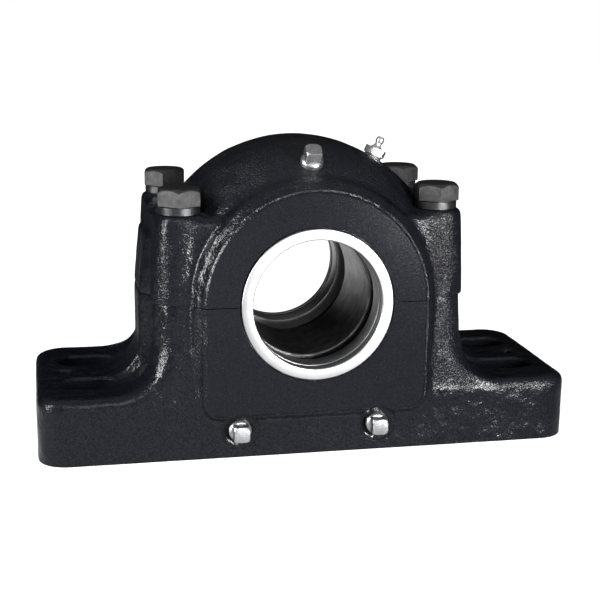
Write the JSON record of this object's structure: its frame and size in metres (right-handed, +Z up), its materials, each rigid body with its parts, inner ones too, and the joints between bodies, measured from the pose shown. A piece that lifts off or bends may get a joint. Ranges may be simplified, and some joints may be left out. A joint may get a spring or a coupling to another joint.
{
  "type": "pillow block bearing",
  "caption": "Split cast housing with slotted feet, holding a self-aligning roller bearing on an adapter sleeve between labyrinth seal rings.",
  "frame": {"origin": "middle of the mounting face, straight below the shaft's centre", "axes": "+X along the base, to the right seen from the side with the drain plugs; +Y along the shaft, away from that side; +Z up"},
  "size_m": [0.425, 0.1862, 0.24],
  "materials": {
    "paint": "satin black over sand-cast iron",
    "bolt_steel": "dark, lightly oiled",
    "washer_steel": "plain",
    "race_steel": "ground and polished",
    "sleeve_steel": "turned",
    "ring_steel": "turned bright",
    "plug_steel": "rough square heads",
    "zinc": "bright zinc",
    "brass": "machined",
    "rubber": "matt"
  },
  "bodies": {
    "housing": {"housing_base": "paint", "housing_cap": "paint", "cap_bolt_front_left": "bolt_steel", "cap_bolt_front_right": "bolt_steel", "cap_bolt_rear_left": "bolt_steel", "cap_bolt_rear_right": "bolt_steel", "lock_washer_front_left": "washer_steel", "lock_washer_front_right": "washer_steel", "lock_washer_rear_left": "washer_steel", "lock_washer_rear_right": "washer_steel", "dowel_pin_left": "race_steel", "dowel_pin_right": "race_steel", "outer_race": "race_steel", "locating_ring_front": "bolt_steel", "locating_ring_rear": "bolt_steel", "drain_plug_left": "plug_steel", "drain_plug_right": "plug_steel", "crown_plug": "plug_steel", "grease_fitting": "zinc"},
    "aligner": {"guide_ring": "race_steel"},
    "inner_group": {"inner_race": "race_steel", "adapter_sleeve": "sleeve_steel", "lock_nut": "bolt_steel", "tab_washer": "washer_steel", "seal_ring_front": "ring_steel", "seal_ring_rear": "ring_steel", "seal_o_ring_front": "rubber", "seal_o_ring_rear": "rubber"},
    "roller_set": {"rollers_front": "race_steel", "rollers_rear": "race_steel", "roller_cage": "brass"},
    "ball": {"check_ball": "race_steel"}
  },
  "joints": [
    {"name": "self_align", "type": "hinge", "parent": "housing", "child": "aligner", "pos_m": [0, 0, 0.121], "axis": [1, 0, 0], "range_deg": [-0.3, 0.3]},
    {"name": "shaft_spin", "type": "hinge", "parent": "aligner", "child": "inner_group", "pos_m": [0, 0, 0.121], "axis": [0, 1, 0], "continuous": true},
    {"name": "cage_spin", "type": "hinge", "parent": "aligner", "child": "roller_set", "pos_m": [0, 0, 0.121], "axis": [0, 1, 0], "continuous": true},
    {"name": "ball_slide", "type": "slide", "parent": "housing", "child": "ball", "axis": [-0.4226, 0, -0.9063], "range_m": [0, 0.001], "stiffness_N_per_m": 60, "springref_m": -0.002}
  ],
  "couplings": [
    {"joint": "cage_spin", "follows": "shaft_spin", "ratio": 0.431}
  ]
}
